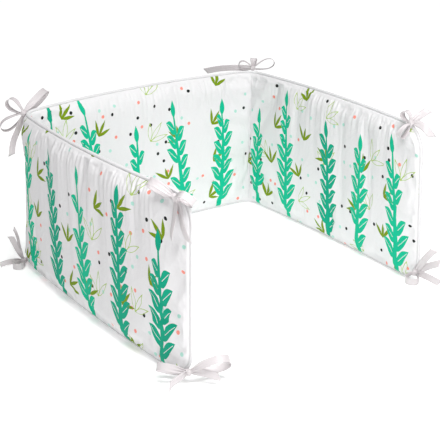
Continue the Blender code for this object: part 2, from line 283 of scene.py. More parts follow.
def wall_point(along, up, out):
    along, up, out = np.broadcast_arrays(*(np.asarray(x, float) for x in (along, up, out)))
    spot = plan_point(along, up)
    return np.concatenate([spot, up[..., None]], axis=-1) + outward_at(along) * out[..., None]


print("panel %.3f m long, folded at %.3f and %.3f m" % (PANEL_LENGTH, *FOLDS))

# %% [markdown]
# ## The padded panel
#
# The real panel is a sleeve of cotton with a thin sheet of wadding in it. It is thickest a few centimetres
# in from the seam, a sewn line holds it down in each fold, and broad soft folds hang in the loose cover. A
# fine grid is laid on both faces, so that small puckers can be real shapes and not only shading.

# %% Thickness of the wadding
PAD_THICKNESS = 0.026
SEAM_THICKNESS = 0.0060
CROWN_REACH = 0.038
SIDE_FULLNESS = 0.14
FOLD_CHANNEL = 0.011
FOLD_DEPTH = 0.48
FOLD_LEAN = 1.5
HANGING_FOLDS = {
    # face: side, share of its length, half width, lowest height, depth
    "outer": (
        ("left", 0.20, 0.016, 0.12, -0.0030),
        ("left", 0.30, 0.014, 0.16, 0.0022),
        ("left", 0.40, 0.016, 0.06, -0.0032),
        ("left", 0.53, 0.018, 0.10, -0.0026),
        ("left", 0.63, 0.016, 0.14, 0.0024),
        ("left", 0.74, 0.018, 0.08, -0.0030),
        ("back", 0.22, 0.018, 0.14, -0.0026),
        ("back", 0.48, 0.018, 0.10, -0.0028),
        ("back", 0.77, 0.016, 0.14, -0.0026),
        ("right", 0.26, 0.018, 0.12, -0.0026),
        ("right", 0.60, 0.018, 0.14, -0.0026),
    ),
    "inner": (
        ("left", 0.25, 0.016, 0.14, -0.0026),
        ("left", 0.55, 0.018, 0.12, -0.0028),
        ("left", 0.80, 0.016, 0.16, -0.0024),
        ("back", 0.14, 0.016, 0.18, -0.0024),
        ("back", 0.38, 0.018, 0.20, -0.0022),
        ("back", 0.66, 0.016, 0.16, -0.0026),
        ("back", 0.86, 0.016, 0.15, -0.0024),
        ("right", 0.16, 0.016, 0.20, -0.0026),
        ("right", 0.31, 0.014, 0.12, -0.0030),
        ("right", 0.46, 0.016, 0.10, 0.0024),
        ("right", 0.57, 0.016, 0.08, -0.0030),
        ("right", 0.72, 0.016, 0.14, -0.0026),
    ),
}


def bell(distance, spread):
    return np.exp(-((distance / spread) ** 2))


def from_end(along):
    return np.minimum(along, PANEL_LENGTH - along)


def from_edge(up):
    return np.minimum(up - PAD_FOOT, PAD_TOP - up)


def edge_inset(along):
    short = np.clip(END_RADIUS - from_end(along), 0.0, END_RADIUS)
    return END_RADIUS - np.sqrt(np.maximum(0.0, END_RADIUS**2 - short**2))


def distance_to_edge(along, up):
    across, upright = from_end(along), from_edge(up)
    rounded = END_RADIUS - np.hypot(END_RADIUS - across, END_RADIUS - upright)
    in_corner = (across < END_RADIUS) & (upright < END_RADIUS)
    return np.maximum(0.0, np.where(in_corner, rounded, np.minimum(across, upright)))


def half_thickness(along, up):
    inside = np.minimum(1.0, distance_to_edge(along, up) / CROWN_REACH)
    crown = np.sqrt(1 - (1 - inside) ** 2)
    for start, end in SIDE_SPAN.values():
        share = np.clip((along - start) / (end - start), 0.0, 1.0)
        crown = crown * (1 + SIDE_FULLNESS * np.sin(np.pi * share) * inside)
    for fold in FOLDS:
        crown = crown * (1 - FOLD_DEPTH * bell(along - fold, FOLD_CHANNEL))
    return (SEAM_THICKNESS + (PAD_THICKNESS - SEAM_THICKNESS) * crown) / 2


def hanging_folds(along, up, face):
    lift = np.zeros_like(along)
    for side, share, half_width, lowest, depth in HANGING_FOLDS[face]:
        start, end = SIDE_SPAN[side]
        across = bell(along - (start + share * (end - start)), half_width)
        rise = np.clip((up - lowest) / (PAD_TOP - lowest), 0.0, 1.0)
        lift += depth * across * np.sin(np.pi * rise**FOLD_LEAN)
    return lift


print("hanging folds:", sum(map(len, HANGING_FOLDS.values())))

# %% [markdown]
# Where cloth is gathered into a seam it puckers. The puckers are narrow at the seam, and the further they
# run from it the broader they get, as small ones die out and long ones go on. So the gathers are a few
# waves, each with its own pitch and reach. Their ridges are spaced unevenly and lean a little, from a
# seeded generator, so that no two are alike and each run still gives the same cloth.

# %% Gathers at the seams
TOP_GATHERS = (
    # pitch, height of a ridge, reach below the seam
    (0.0120, 0.00095, 0.045),
    (0.0180, 0.00095, 0.075),
    (0.0310, 0.00080, 0.120),
    (0.0560, 0.00110, 0.200),
)
FOOT_GATHERS = (
    (0.0130, 0.00035, 0.022),
    (0.0260, 0.00060, 0.045),
)
FINE_PUCKERS = (
    (0.0086, 0.00042, 0.035),
    (0.0108, 0.00055, 0.060),
)
GATHER_START = 0.004  # how soon below the seam a pucker has its full height
LEAN_PITCH = 0.12
LEAN = 0.12
REACH_SWING = 0.55
STRENGTH, STRENGTH_SWING = 0.70, 0.50
COVER_SEEDS = {"outer": 100, "inner": 500}
WAVE_SEED_STEP = 17
FOOT_SEED_STEP = 200
CALM_EDGE = 0.006  # how far from the seam the puckers reach their full height
CALM_FOLD = 0.7  # how much of them the fold seams hold down
CROWDED_GATHERS = {
    # face: places along the panel, how far the crowding spreads, how much it adds
    "outer": ((0.16, 0.09, 0.35), (0.40, 0.08, 0.30), (0.93, 0.12, 0.25), (1.45, 0.14, 0.25)),
    "inner": ((1.34, 0.10, 0.65), (0.30, 0.12, 0.25), (0.74, 0.08, 0.20), (1.62, 0.06, 0.25)),
}
SOFT_CREASES = {
    # face: along, up, half length, half width, slope, depth
    "outer": (
        (0.055, 0.128, 0.034, 0.0060, 0.20, -0.0013),
        (0.070, 0.100, 0.040, 0.0070, 0.08, -0.0010),
        (0.330, 0.085, 0.050, 0.0080, -0.30, -0.0012),
        (0.860, 0.120, 0.055, 0.0080, 0.25, -0.0012),
        (1.560, 0.095, 0.050, 0.0080, -0.20, -0.0012),
    ),
    "inner": (
        (0.180, 0.110, 0.045, 0.0080, 0.25, -0.0012),
        (0.990, 0.095, 0.060, 0.0080, -0.15, -0.0012),
        (1.450, 0.105, 0.050, 0.0080, 0.30, -0.0012),
        (1.700, 0.150, 0.034, 0.0065, -0.20, -0.0012),
    ),
}


def uneven_wave(places, pitch, seed):
    """A wave with ridges of uneven width and height, between about -1 and 1."""
    rng = np.random.default_rng(seed)
    count = int(3 * PANEL_LENGTH / pitch) + 12
    knots = np.cumsum(pitch / 2 * rng.uniform(0.6, 1.4, count)) - 4 * pitch
    heights = rng.uniform(0.4, 1.0, count) * np.where(np.arange(count) % 2, -1.0, 1.0)
    index = np.interp(places, knots, np.arange(count))
    low = np.minimum(index.astype(int), count - 2)
    ease = (1 - np.cos(np.pi * (index - low))) / 2
    return heights[low] * (1 - ease) + heights[low + 1] * ease


def gathers(along, below, waves, seed):
    """How far the puckers of one seam lift the cover, at a distance below that seam."""
    lift = np.zeros_like(along)
    leaning = along + LEAN * below * uneven_wave(along, LEAN_PITCH, seed)
    for number, (pitch, height, reach) in enumerate(waves, 1):
        own = seed + WAVE_SEED_STEP * number
        here = reach * (1 + REACH_SWING * uneven_wave(along, 4 * pitch, own + 1))
        strength = STRENGTH + STRENGTH_SWING * uneven_wave(along, 6 * pitch, own + 2)
        fade = bell(below, here) * (1 - np.exp(-below / GATHER_START))
        lift += height * strength * fade * uneven_wave(leaning, pitch, own)
    return lift


def seam_gathers(along, up, face, top_waves, foot_waves, seed, foot_share=1.0):
    """The puckers of the top seam, crowded in places, and those of the foot seam."""
    crowding = 1 + sum(more * bell(along - place, spread) for place, spread, more in CROWDED_GATHERS[face])
    top = gathers(along, np.maximum(0.0, PAD_TOP - up), top_waves, seed)
    foot = gathers(along, np.maximum(0.0, up - PAD_FOOT), foot_waves, seed + FOOT_SEED_STEP)
    return top * crowding + foot_share * foot


def calm_near_edge(along, up):
    return np.minimum(1.0, distance_to_edge(along, up) / CALM_EDGE)


def cover_lift(along, up, face):
    calm = calm_near_edge(along, up)
    for fold in FOLDS:
        calm = calm * (1 - CALM_FOLD * bell(along - fold, 2 * FOLD_CHANNEL))
    puckers = seam_gathers(along, up, face, TOP_GATHERS, FOOT_GATHERS, COVER_SEEDS[face])
    lift = puckers * calm + hanging_folds(along, up, face)
    for place, height, half_length, half_width, slope, depth in SOFT_CREASES[face]:
        beside = (along - place) / half_length
        above = (up - height - slope * (along - place)) / half_width
        lift += depth * np.exp(-(beside**2) - above**2)
    return lift


print("gather waves: %d at the top, %d at the foot" % (len(TOP_GATHERS), len(FOOT_GATHERS)))

# %% [markdown]
# The grid itself is a loft: a ring of points round the panel's section, again and again along the panel.
# Each point remembers where it lies on the flat cloth. That map, in metres, is what the weave and the print
# use.

# %% The grid of the panel
COLUMN_STEP = 0.0022
ROW_STEP = 0.009
SEAM_ROWS = (0.0, 0.0012, 0.0030, 0.0055, 0.0090, 0.0135, 0.0190, 0.0255)
END_STEPS = 14
SEAM_TUCK = 0.0016  # how far the edge of the cover is tucked under the piping
TUCKED_ROWS = 0.003
INNER_COVER_AT = 4.0  # where the inner cover, which lies mirrored, begins on the flat cloth


def stations(step, end_steps):
    """Places along the panel, closer together in its rounded ends."""
    turns = np.linspace(0.0, np.pi / 2, end_steps + 1)[:-1]
    round_end = END_RADIUS * (1 - np.cos(turns))
    count = round((PANEL_LENGTH - 2 * END_RADIUS) / step)
    straight = np.linspace(END_RADIUS, PANEL_LENGTH - END_RADIUS, count + 1)
    return np.concatenate([round_end, straight, PANEL_LENGTH - round_end[::-1]])


def row_shares():
    height = PAD_TOP - PAD_FOOT
    low = np.array(SEAM_ROWS)
    count = round((height - 2 * low[-1]) / ROW_STEP)
    middle = np.linspace(low[-1], height - low[-1], count + 1)[1:-1]
    return np.concatenate([low, middle, (height - low)[::-1]]) / height


def pad_grid():
    along = stations(COLUMN_STEP, END_STEPS)
    low = PAD_FOOT + edge_inset(along)
    high = PAD_TOP - edge_inset(along)
    up = low[:, None] + (high - low)[:, None] * row_shares()
    return np.broadcast_to(along[:, None], up.shape).copy(), up


def tucked(along, up):
    """Places near the seam moved out a little, under the piping."""
    toward = np.stack([
        np.maximum(0.0, END_RADIUS - from_end(along)) * np.sign(along - PANEL_LENGTH / 2),
        np.maximum(0.0, END_RADIUS - from_edge(up)) * np.sign(up - WALL_HEIGHT / 2),
    ])
    toward /= np.maximum(np.hypot(*toward), 1e-9)
    move = SEAM_TUCK * np.clip(1 - distance_to_edge(along, up) / TUCKED_ROWS, 0.0, 1.0)
    return along + toward[0] * move, up + toward[1] * move


def both_covers(outer, inner):
    """Rows up the outer cover and down the inner one, as one ring round the panel."""
    return np.concatenate([outer, inner[:, ::-1]], axis=1)


def mesh_object(name, points, faces, places):
    """A smooth object, with a map of where each face corner lies on the flat cloth."""
    mesh = bpy.data.meshes.new(name)
    mesh.from_pydata(points.reshape(-1, 3).tolist(), [], faces)
    mesh.uv_layers.new(name="cloth").data.foreach_set("uv", places.astype(np.float32).ravel())
    mesh.shade_smooth()
    return add_object(name, mesh)


def ring_faces(count, ring):
    """Quads between rings that follow each other, with their fronts outwards."""
    here = np.arange(count - 1)[:, None] * ring
    index = np.arange(ring)[None, :]
    after = (index + 1) % ring
    quads = np.stack([here + index, here + after, here + ring + after, here + ring + index], axis=-1)
    return quads.reshape(-1, 4)


def skin_faces(count, ring):
    """Quads round and along a form that is flat at its two ends, with both ends closed."""
    faces = [ring_faces(count, ring)]
    for first, flip in ((0, True), ((count - 1) * ring, False)):
        row = np.arange(ring // 2 - 1)
        cap = first + np.stack([row, row + 1, ring - 2 - row, ring - 1 - row], axis=1)
        faces.append(cap[:, ::-1] if flip else cap)
    return np.vstack(faces)


def build_pad():
    along, up = pad_grid()
    half = half_thickness(along, up)
    place = tucked(along, up)
    outer = wall_point(*place, half + cover_lift(along, up, "outer"))
    inner = wall_point(*place, -half - cover_lift(along, up, "inner"))
    points = both_covers(outer, inner)
    count, ring = points.shape[:2]
    faces = skin_faces(count, ring)
    u = both_covers(along, INNER_COVER_AT - along).ravel()[faces]
    v = both_covers(up, up).ravel()[faces]
    on_outer = (faces % ring) < ring // 2
    shared = on_outer.any(axis=1) & ~on_outer.all(axis=1)
    u[shared] = np.where(on_outer[shared], u[shared], INNER_COVER_AT - u[shared])
    return mesh_object("padded_panel", points, faces.tolist(), np.stack([u, v], axis=-1))


panel = build_pad()
print("panel: %d faces" % len(panel.data.polygons))

# %% [markdown]
# The cloth itself finishes the shape. The cover is sewn down at the piping and in the folds, so those
# points are pinned. Everywhere else the simulation lets it grow by three hundredths, as the spare cloth of
# a gathered seam does, with a little pressure from the wadding and no gravity. It buckles into folds that
# run out of the seams, which no formula gives so well. The move of each point is held to a few millimetres,
# so that the panel stays in the space of its solid, and the finest puckers are added after it, because they
# are narrower than the grid.

# %% Settle the cover
SETTLE_FRAMES = 12
SPARE_CLOTH = 0.03
PINNED_EDGE = 0.0035
PINNED_FOLD = 0.0032
FURTHEST_MOVE = 0.006
FINE_SEEDS = {"outer": 3100, "inner": 3500}
FINE_FOOT_SHARE = 0.7


def pinned_points():
    along, up = pad_grid()
    held = distance_to_edge(along, up) < PINNED_EDGE
    for fold in FOLDS:
        held |= abs(along - fold) < PINNED_FOLD
    return np.nonzero(both_covers(held, held).ravel())[0]


def read_points(mesh):
    points = np.empty(3 * len(mesh.vertices))
    mesh.vertices.foreach_get("co", points)
    return points.reshape(-1, 3)


def write_points(mesh, points):
    mesh.vertices.foreach_set("co", points.ravel())
    mesh.update()


def settle_cover(thing):
    """Run the cloth simulation on the panel, and keep its result as the panel's own shape."""
    group = thing.vertex_groups.new(name="sewn_down")
    group.add(pinned_points().tolist(), 1.0, "REPLACE")
    settling = thing.modifiers.new("settle", "CLOTH")
    cloth = settling.settings
    cloth.quality = 5
    cloth.mass = 0.001
    cloth.air_damping = 1.0
    cloth.tension_stiffness = cloth.compression_stiffness = 30.0
    cloth.shear_stiffness = 10.0
    cloth.bending_stiffness = 0.05
    cloth.use_pressure = True
    cloth.uniform_pressure_force = 0.4
    cloth.effector_weights.gravity = 0.0
    cloth.vertex_group_mass = group.name
    cloth.shrink_min = -SPARE_CLOTH
    settling.collision_settings.use_collision = False
    settling.point_cache.frame_end = SETTLE_FRAMES
    for step in range(1, SETTLE_FRAMES + 1):
        bpy.context.scene.frame_set(step)
    start = read_points(thing.data)
    move = read_points(thing.evaluated_get(bpy.context.evaluated_depsgraph_get()).data) - start
    thing.modifiers.remove(settling)
    thing.vertex_groups.remove(group)
    bpy.context.scene.frame_set(1)
    far = np.linalg.norm(move, axis=1, keepdims=True)
    held = FURTHEST_MOVE * np.tanh(far / FURTHEST_MOVE) / np.maximum(far, 1e-9)
    write_points(thing.data, start + move * held)
    return far.ravel()


def add_fine_puckers(thing):
    along, up = pad_grid()
    calm = calm_near_edge(along, up)
    outer, inner = (
        seam_gathers(along, up, face, FINE_PUCKERS, FINE_PUCKERS, seed, FINE_FOOT_SHARE) * calm
        for face, seed in FINE_SEEDS.items()
    )
    lift = both_covers(outer, inner).ravel()
    normals = np.array([vertex.normal for vertex in thing.data.vertices])
    write_points(thing.data, read_points(thing.data) + normals * lift[:, None])


moved = 1000 * np.percentile(settle_cover(panel), (50, 100))
print("the cover moved %.1f mm at most points, %.1f mm at the most" % tuple(moved))
add_fine_puckers(panel)

# %% [markdown]
# ## The corded piping
#
# A cotton strip, cut on the bias and folded round a soft cord, is sewn between the two faces all the way
# round the edge. A curve with a bevel would make a smooth tube. Here the tube is a loft instead, so that
# the strip can pucker a little over its cord, as sewn piping does.

# %% Piping
PIPING_SIDES = 14
SNUG_RADIUS = 0.0031  # the strip is pulled tight, so it is a little slimmer than its solid
PIPING_STEP = 0.0032
PUCKERS = (
    # pitch along the piping, height
    (0.0070, 0.00016),
    (0.0190, 0.00022),
)
PIPING_SEED = 900


def outline():
    """Once round the panel's edge: places along and up, with the direction out of the panel."""
    along = stations(PIPING_STEP, round(END_RADIUS * np.pi / 2 / PIPING_STEP))
    turn = np.arccos(np.clip((END_RADIUS - from_end(along)) / END_RADIUS, 0.0, 1.0))
    rounded = from_end(along) < END_RADIUS
    sideways = np.where(rounded, np.cos(turn), 0.0) * np.where(along < PANEL_LENGTH / 2, -1.0, 1.0)
    downwards = np.where(rounded, np.sin(turn), 1.0)
    foot = np.stack([along, PAD_FOOT + edge_inset(along), sideways, -downwards], axis=1)
    top = foot[::-1] * (1, -1, 1, -1) + (0, PAD_FOOT + PAD_TOP, 0, 0)
    count = round((PAD_TOP - PAD_FOOT - 2 * END_RADIUS) / PIPING_STEP)
    rises = np.linspace(PAD_FOOT + END_RADIUS, PAD_TOP - END_RADIUS, count + 1)[1:-1]
    one = np.ones_like(rises)
    far = np.stack([one * PANEL_LENGTH, rises, one, 0 * one], axis=1)
    near = np.stack([0 * one, rises[::-1], -one, 0 * one], axis=1)
    return np.vstack([foot, far, top, near])


def distance_along(line):
    steps = np.linalg.norm(np.diff(line, axis=0), axis=1)
    return np.concatenate([[0.0], np.cumsum(steps)])


def build_piping():
    along, up, sideways, rise = outline().T
    away = GAP + PIPING_RADIUS
    centres = wall_point(along + sideways * away, up + rise * away, 0.0)
    outward = outward_at(along)
    across = np.cross(outward, unit(np.roll(centres, -1, axis=0) - np.roll(centres, 1, axis=0)))
    reached = distance_along(centres)
    radius = np.full(len(centres), SNUG_RADIUS)
    for number, (pitch, height) in enumerate(PUCKERS):
        radius += height * uneven_wave(reached % (2.9 * PANEL_LENGTH), pitch, PIPING_SEED + number)
    turns = 2 * np.pi * np.arange(PIPING_SIDES) / PIPING_SIDES
    ring = across[:, None] * np.cos(turns)[:, None] + outward[:, None] * np.sin(turns)[:, None]
    points = centres[:, None] + ring * radius[:, None, None]
    faces = ring_faces(len(points) + 1, PIPING_SIDES)
    length = np.append(reached, reached[-1] + PIPING_STEP)[faces // PIPING_SIDES]
    side = faces % PIPING_SIDES
    closing = (side[:, [0]] == PIPING_SIDES - 1) & (side == 0)
    girth = np.where(closing, PIPING_SIDES, side) * (turns[1] * PIPING_RADIUS)
    faces = faces % (len(points) * PIPING_SIDES)
    return mesh_object("corded_piping", points, faces.tolist(), np.stack([length, girth], axis=-1))


piping = build_piping()
print("piping: %d faces" % len(piping.data.polygons))

# %% [markdown]
# ## Stitches in the folds
#
# A row of lock stitches goes through both faces at each fold, which is why the panel bends there. Each
# stitch is a short piece of thread that dips into the cloth at both of its ends. Real stitches catch the
# light one by one, which a painted line doesn't do.

# %% Fold stitches
STITCH_PITCH = 0.0038
STITCH_LENGTH = 0.0029
THREAD_RADIUS = 0.00038
STITCH_RINGS = 5
STITCH_SIDES = 6
STITCHED_FROM = PAD_FOOT + 0.006
STITCHED_TO = PAD_TOP - 0.004


def stitch_rings(along, middle, face_sign, lift):
    """Rings of one stitch, along the height of the wall."""
    shares = np.linspace(-1.0, 1.0, STITCH_RINGS)[:, None]
    bulge = np.sqrt(np.maximum(0.03, 1 - shares**2))
    out = lift + THREAD_RADIUS * (0.6 * bulge - 0.2)
    turns = 2 * np.pi * np.arange(STITCH_SIDES) / STITCH_SIDES
    sideways = THREAD_RADIUS * bulge * np.cos(turns)
    outward = face_sign * (out + THREAD_RADIUS * bulge * np.sin(turns))
    return wall_point(along + sideways, middle + shares * STITCH_LENGTH / 2, outward)


def build_fold_stitches():
    points, faces, places = [], [], []
    middles = np.arange(STITCHED_FROM, STITCHED_TO, STITCH_PITCH)
    for fold in FOLDS:
        here = np.full_like(middles, fold)
        for face, sign in (("outer", 1.0), ("inner", -1.0)):
            lifts = half_thickness(here, middles) + cover_lift(here, middles, face)
            quads = skin_faces(STITCH_RINGS, STITCH_SIDES)
            quads = quads if sign > 0 else quads[:, ::-1]
            for middle, lift in zip(middles, lifts):
                rings = stitch_rings(fold, middle, sign, lift)
                flat = np.stack([rings[..., 0] + rings[..., 1], rings[..., 2]], axis=-1).reshape(-1, 2)
                faces.append(quads + len(points) * STITCH_RINGS * STITCH_SIDES)
                places.append(flat[quads])
                points.append(rings)
    return mesh_object("fold_stitches", np.stack(points), np.vstack(faces).tolist(), np.stack(places))


stitches = build_fold_stitches()
print("stitches: %d faces" % len(stitches.data.polygons))

# %% [markdown]
# ## The ribbon bows
#
# Satin ribbon is thin and springy. It stands up in loops, it is pinched into pleats where the knot grips
# it, and its free ends curl a little. Each loop and end is a strip swept along a line, with a cross-section
# that goes from pleated at the knot to flat further out. Each bow has its knot where its solid has it, and
# most of its strips lie as they do there. Five loops and two tails are turned or resized a little, so that
# the broad face of the ribbon shows.

# %% Where the bows are
RIBBON_WIDTH = 0.014
RIBBON_THICKNESS = 0.0012
KNOT_RADIUS = 0.0075
BOWS = {
    # tie: the seat of its knot: corner, past it, height, out, and the way it is tied: along, outward, up
    # then its strips: kind, heading, rise, length, opening, turn, droop
    "tie_near_top": (
        ("near_end", 0.0206, 0.3197, 0.0005, 0.0, 1.0, 0.1),
        ("loop", 112, 22, 0.056, 0.024, 136, 0.004),
        ("loop", -80, 16, 0.036, 0.024, 40, 0.006),
        ("tail", -100, -58, 0.072, 0.0, 84, 0.0),
        ("tail", -150, -74, 0.064, 0.0, 30, 0.0),
    ),
    "tie_near_foot": (
        ("near_end", 0.0050, 0.0243, 0.0006, -0.85, 0.55, -0.45),
        ("loop", 134, 6, 0.054, 0.022, 130, 0.0),
        ("loop", -30, 14, 0.072, 0.036, 36, 0.0),
        ("tail", -163, 0, 0.050, 0.0, 90, 0.004),
        ("tail", -46, 0, 0.052, 0.0, 90, 0.004),
    ),
    "tie_left_top": (
        ("left_back", 0.0, 0.3265, 0.0014, 0.0, 1.0, -0.3),
        ("loop", 129, 38, 0.041, 0.020, 0, 0.0),
        ("loop", 158, -32, 0.054, 0.020, 0, 0.0),
        ("loop", 28, 18, 0.088, 0.018, 26, 0.0),
        ("tail", -168, -63, 0.088, 0.0, 84, 0.0),
    ),
    "tie_left_foot": (
        ("left_back", -0.012, 0.0080, 0.0022, 0.0, 1.0, 0.0),
        ("tail", 120, 58, 0.058, 0.0, 80, 0.0),
        ("tail", 96, 66, 0.072, 0.0, 80, 0.0),
        ("tail", 168, 0, 0.054, 0.0, 90, 0.0),
        ("loop", -146, 0, 0.034, 0.020, 90, 0.0),
    ),
    "tie_right_top": (
        ("right_back", 0.0, 0.3265, 0.0, 0.0, 0.8, 0.6),
        ("tail", 146, -3, 0.112, 0.0, 86, 0.0),
        ("loop", -31, 16, 0.052, 0.020, 0, 0.0),
        ("loop", 40, 60, 0.024, 0.014, 0, 0.0),
        ("loop", 148, 20, 0.034, 0.016, 0, 0.0),
    ),
    "tie_right_foot": (
        ("right_back", 0.0, 0.0080, 0.0012, 0.0, 1.0, 0.0),
        ("loop", 100, 0, 0.046, 0.022, 90, 0.0),
        ("loop", -10, 0, 0.046, 0.022, 90, 0.0),
        ("tail", 68, 0, 0.062, 0.0, 90, 0.0),
        ("tail", 26, 0, 0.056, 0.0, 90, 0.0),
    ),
    "tie_far_top": (
        ("far_end", -0.0250, 0.3222, -0.0010, 0.0, -0.55, 0.85),
        ("loop", 100, 50, 0.026, 0.014, 0, 0.0),
        ("loop", 176, -40, 0.036, 0.014, 0, 0.0),
        ("tail", -24, 34, 0.042, 0.0, 60, 0.0),
        ("tail", -78, 10, 0.048, 0.0, 60, 0.026),
    ),
    "tie_far_foot": (
        ("far_end", -0.0027, 0.0279, 0.0002, 0.5, -0.7, -0.2),
        ("tail", -76, 58, 0.070, 0.0, 84, 0.0),
        ("tail", -72, 34, 0.062, 0.0, 84, 0.0),
        ("tail", -78, -6, 0.058, 0.0, 90, 0.0),
        ("loop", -150, 0, 0.034, 0.024, 90, 0.006),
    ),
}


def knot_place(corner, past, height, out, along, outward, up):
    """Centre of a knot, one gap off the piping that it is seated on."""
    place = np.array(corner_at[corner] + past)
    out_way = outward_at(place)
    along_way = np.cross(out_way, (0.0, 0.0, 1.0))
    way = along_way * along + out_way * outward + np.array([0.0, 0.0, up])
    away = PIPING_RADIUS + GAP + KNOT_RADIUS
    spot = wall_point(place, height, out) + way / np.linalg.norm(way) * away
    spot[2] = max(spot[2], RIBBON_WIDTH / 2 + GAP)
    return spot


for name, (seat, *_) in BOWS.items():
    print(name, "knot at", [round(float(c), 4) for c in knot_place(*seat)])

# %% [markdown]
# One strip at a time: its middle line, then the way that its width lies at each step, then points across
# the width, which the pleats push to and fro. A ring goes round both faces of the ribbon, because a sheet
# with no thickness has no edge to catch the light.

# %% Ribbon strips
RIBBON_SHEET = 0.0005
LOOP_STEPS = 40
TAIL_STEPS = 26
STEPS_ACROSS = 10
PINCH_REACH = 0.018
PINCHED_WIDTH = 0.45
PLEAT_REACH = 0.030
PLEAT_DEPTH = 0.0016
CUT_SLANT = 0.30
TAIL_ARCH = 0.045
LOOP_TWIST = 9  # degrees, either way
TAIL_TWIST = 24
EDGE_CURL = 0.0007


def eased(share):
    share = np.clip(share, 0.0, 1.0)
    return share * share * (3 - 2 * share)


def ribbon_frame(heading, rise, turn):
    """Run of a ribbon, the way its loop opens and the way its width lies."""
    level = Vector((math.cos(math.radians(heading)), math.sin(math.radians(heading)), 0.0))
    run = level * math.cos(math.radians(rise)) + Vector((0.0, 0.0, math.sin(math.radians(rise))))
    width = Quaternion(run, math.radians(turn)) @ Vector((-level.y, level.x, 0.0))
    return tuple(np.array(way) for way in (run, width.cross(run), width))


def ribbon_strip(knot, kind, heading, rise, length, opening, turn, droop, rng):
    """Points of one strip, a ring round the ribbon at each step, and how far along it each ring is."""
    run, opening_way, width = ribbon_frame(heading, rise, turn)
    share = np.linspace(0.0, 1.0, (LOOP_STEPS if kind == "loop" else TAIL_STEPS) + 1)
    if kind == "loop":
        forward = length * np.sin(np.pi * share)
        aside = opening / 2 * np.sin(2 * np.pi * share) + RIBBON_THICKNESS * np.cos(np.pi * share)
        from_knot = length * 1.05 * np.minimum(share, 1 - share) * 2
        twist = math.radians(rng.uniform(-LOOP_TWIST, LOOP_TWIST)) * np.sin(2 * np.pi * share)
        arch = 0.0
    else:
        forward = from_knot = length * share
        sway, waves = rng.uniform(0.02, 0.05), rng.uniform(1.6, 2.4)
        aside = length * sway * np.sin(np.pi * (waves * share)) * share
        twist = math.radians(rng.uniform(-TAIL_TWIST, TAIL_TWIST)) * share
        arch = TAIL_ARCH * length * np.sin(np.pi * share)
    line = knot + run * forward[:, None] + opening_way * aside[:, None]
    line[:, 2] += arch - droop * (forward / length) ** 2
    tangent = unit(np.gradient(line, axis=0))
    face = unit(np.cross(width, tangent))
    across = np.cross(tangent, face)
    lie = across * np.cos(twist)[:, None] + face * np.sin(twist)[:, None]
    stand = np.cross(lie, tangent)
    half = RIBBON_WIDTH / 2 * (PINCHED_WIDTH + (1 - PINCHED_WIDTH) * eased(from_knot / PINCH_REACH))
    spread = eased(from_knot / PLEAT_REACH)[:, None]
    q = np.linspace(-1.0, 1.0, STEPS_ACROSS)
    lift = PLEAT_DEPTH * (1 - spread) * np.cos(2.5 * np.pi * q + rng.uniform(-0.6, 0.6))
    lift += EDGE_CURL * q**2 * spread
    middle = line[:, None] + lie[:, None] * (half[:, None] * q)[..., None] + stand[:, None] * lift[..., None]
    if kind == "tail":
        slant = CUT_SLANT * RIBBON_WIDTH * rng.choice([-1.0, 1.0])
        middle += tangent[:, None] * (slant * q * (share**6)[:, None])[..., None]
    normal = unit(np.cross(np.gradient(middle, axis=0), np.gradient(middle, axis=1)))
    front = middle + normal * RIBBON_SHEET / 2
    behind = middle - normal * RIBBON_SHEET / 2
    return both_covers(front, behind), distance_along(line)


print("a loop has %d faces" % len(skin_faces(LOOP_STEPS + 1, 2 * STEPS_ACROSS)))

# %% [markdown]
# The knot is the ribbon's own width wrapped once round the pleats, so it reads as a small squarish band
# with slanting pleats. It is made from rings whose radius is modelled by a formula: full in the middle,
# rolled in at the ends, squared a little, and cut by the pleats.

# %% Knots
KNOT_RINGS = 26
KNOT_SIDES = 32
KNOT_HALF_LENGTH = 0.0058
KNOT_PLEATS = (
    # place between the ends, sway, turn at which it sways
    (-0.46, 0.13, 0.0),
    (0.02, 0.20, 1.3),
    (0.48, 0.12, 2.4),
)
PLEAT_CUT = 0.0015
PLEAT_WIDTH = 0.10
KNOT_FULLNESS = 0.82
KNOT_ROLL = 0.38  # the lower, the fuller the knot stays towards its ends
KNOT_SKEW = 0.0009
TIE_SEED = 40


def knot_rings(centre, axis, rng):
    axis = axis / np.linalg.norm(axis)
    aside = np.cross(axis, (0.0, 0.0, 1.0))
    aside /= np.linalg.norm(aside)
    upward = np.cross(aside, axis)
    tilt = np.linspace(-np.pi / 2, np.pi / 2, KNOT_RINGS + 2)[1:-1, None]
    turn = (2 * np.pi * np.arange(KNOT_SIDES) / KNOT_SIDES)[None, :]
    start = rng.uniform(0.0, 2 * np.pi)
    squared = (np.abs(np.cos(turn)) ** 3 + np.abs(np.sin(turn)) ** 3) ** (-1 / 3)
    cut = sum(
        bell(np.sin(tilt) - place - sway * np.sin(turn + start + phase), PLEAT_WIDTH)
        for place, sway, phase in KNOT_PLEATS
    )
    full = KNOT_RADIUS * KNOT_FULLNESS * squared * np.cos(tilt) ** KNOT_ROLL
    radius = full - PLEAT_CUT * cut * np.cos(tilt)
    slide = KNOT_HALF_LENGTH * np.sin(tilt) + KNOT_SKEW * np.sin(turn + start)
    return (
        centre
        + axis * slide[..., None]
        + aside * (radius * np.cos(turn))[..., None]
        + upward * (radius * np.sin(turn))[..., None]
    )


def knot_faces():
    """Quads round the knot, and one face that closes each of its ends."""
    first = list(range(KNOT_SIDES))
    last = [(KNOT_RINGS - 1) * KNOT_SIDES + corner for corner in reversed(first)]
    return ring_faces(KNOT_RINGS, KNOT_SIDES)[:, ::-1].tolist(), [first, last]


